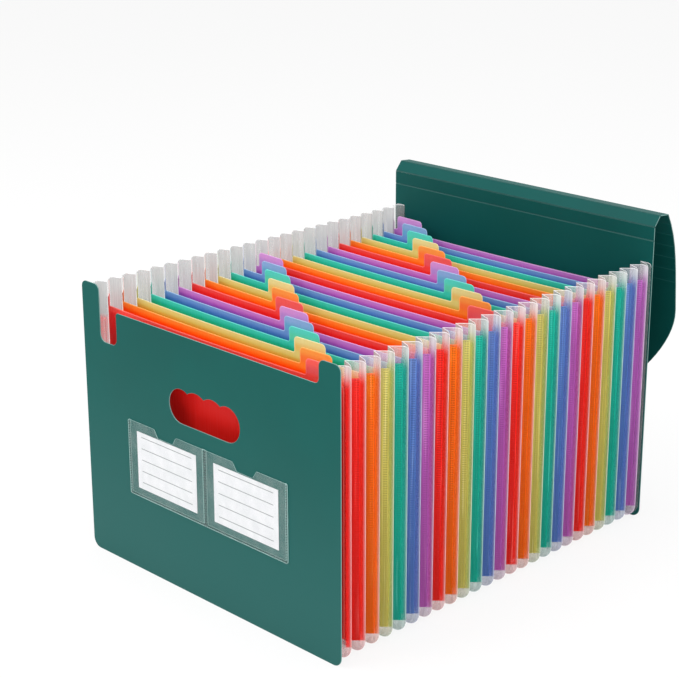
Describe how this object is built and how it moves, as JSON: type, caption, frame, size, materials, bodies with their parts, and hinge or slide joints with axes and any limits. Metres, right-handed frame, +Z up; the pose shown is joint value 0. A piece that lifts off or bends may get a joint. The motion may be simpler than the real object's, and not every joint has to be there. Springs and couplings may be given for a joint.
{
  "type": "accordion file organizer",
  "caption": "Standing accordion file organizer, open: stiff covers, clear U-shaped bellows, coloured tabbed dividers, a front label pocket and a hinged lid flap.",
  "frame": {"origin": "under the middle of the whole organizer, on the surface it stands on", "axes": "+X along the covers' width to the right as seen from the front, +Y from the front cover to the back cover, +Z up"},
  "size_m": [0.33, 0.4688, 0.3039],
  "materials": {
    "cover_sheet": "dark green polypropylene sheet, fine matt grain, satin",
    "clear_film": "clear frosted polypropylene film",
    "card": "white card with thin grey ruled lines",
    "film_red": "translucent red polypropylene film",
    "film_orange": "translucent orange polypropylene film",
    "film_yellow": "translucent yellow polypropylene film",
    "film_green": "translucent green polypropylene film",
    "film_blue": "translucent blue polypropylene film",
    "film_purple": "translucent purple polypropylene film"
  },
  "bodies": {
    "file": {"front_cover": "cover_sheet", "label_pocket": "clear_film", "label_card_left": "card", "label_card_right": "card", "bellows": "clear_film", "divider_01": "film_red", "divider_02": "film_orange", "divider_03": "film_yellow", "divider_04": "film_green", "divider_05": "film_blue", "divider_06": "film_purple", "divider_07": "film_red", "divider_08": "film_orange", "divider_09": "film_yellow", "divider_10": "film_green", "divider_11": "film_blue", "divider_12": "film_purple", "divider_13": "film_red", "divider_14": "film_orange", "divider_15": "film_yellow", "divider_16": "film_green", "divider_17": "film_blue", "divider_18": "film_purple", "divider_19": "film_red", "divider_20": "film_orange", "divider_21": "film_yellow", "divider_22": "film_green", "divider_23": "film_blue", "divider_24": "film_purple", "back_cover": "cover_sheet"},
    "lower_strip": {"spine_strip_lower": "cover_sheet"},
    "upper_strip": {"spine_strip_upper": "cover_sheet"},
    "flap": {"cover_flap": "cover_sheet"}
  },
  "joints": [
    {"name": "lower_fold", "type": "hinge", "parent": "file", "child": "lower_strip", "pos_m": [0, 0.17927, 0.294], "axis": [1, 0, 0], "range_deg": [0, 60]},
    {"name": "upper_fold", "type": "hinge", "parent": "lower_strip", "child": "upper_strip", "pos_m": [0, 0.18724, 0.3035], "axis": [1, 0, 0], "range_deg": [0, 90]},
    {"name": "flap_fold", "type": "hinge", "parent": "upper_strip", "child": "flap", "pos_m": [0, 0.2, 0.30238], "axis": [1, 0, 0], "range_deg": [0, 120]}
  ],
  "couplings": [
    {"joint": "lower_fold", "follows": "flap_fold", "ratio": 0.5},
    {"joint": "upper_fold", "follows": "flap_fold", "ratio": 0.75}
  ]
}
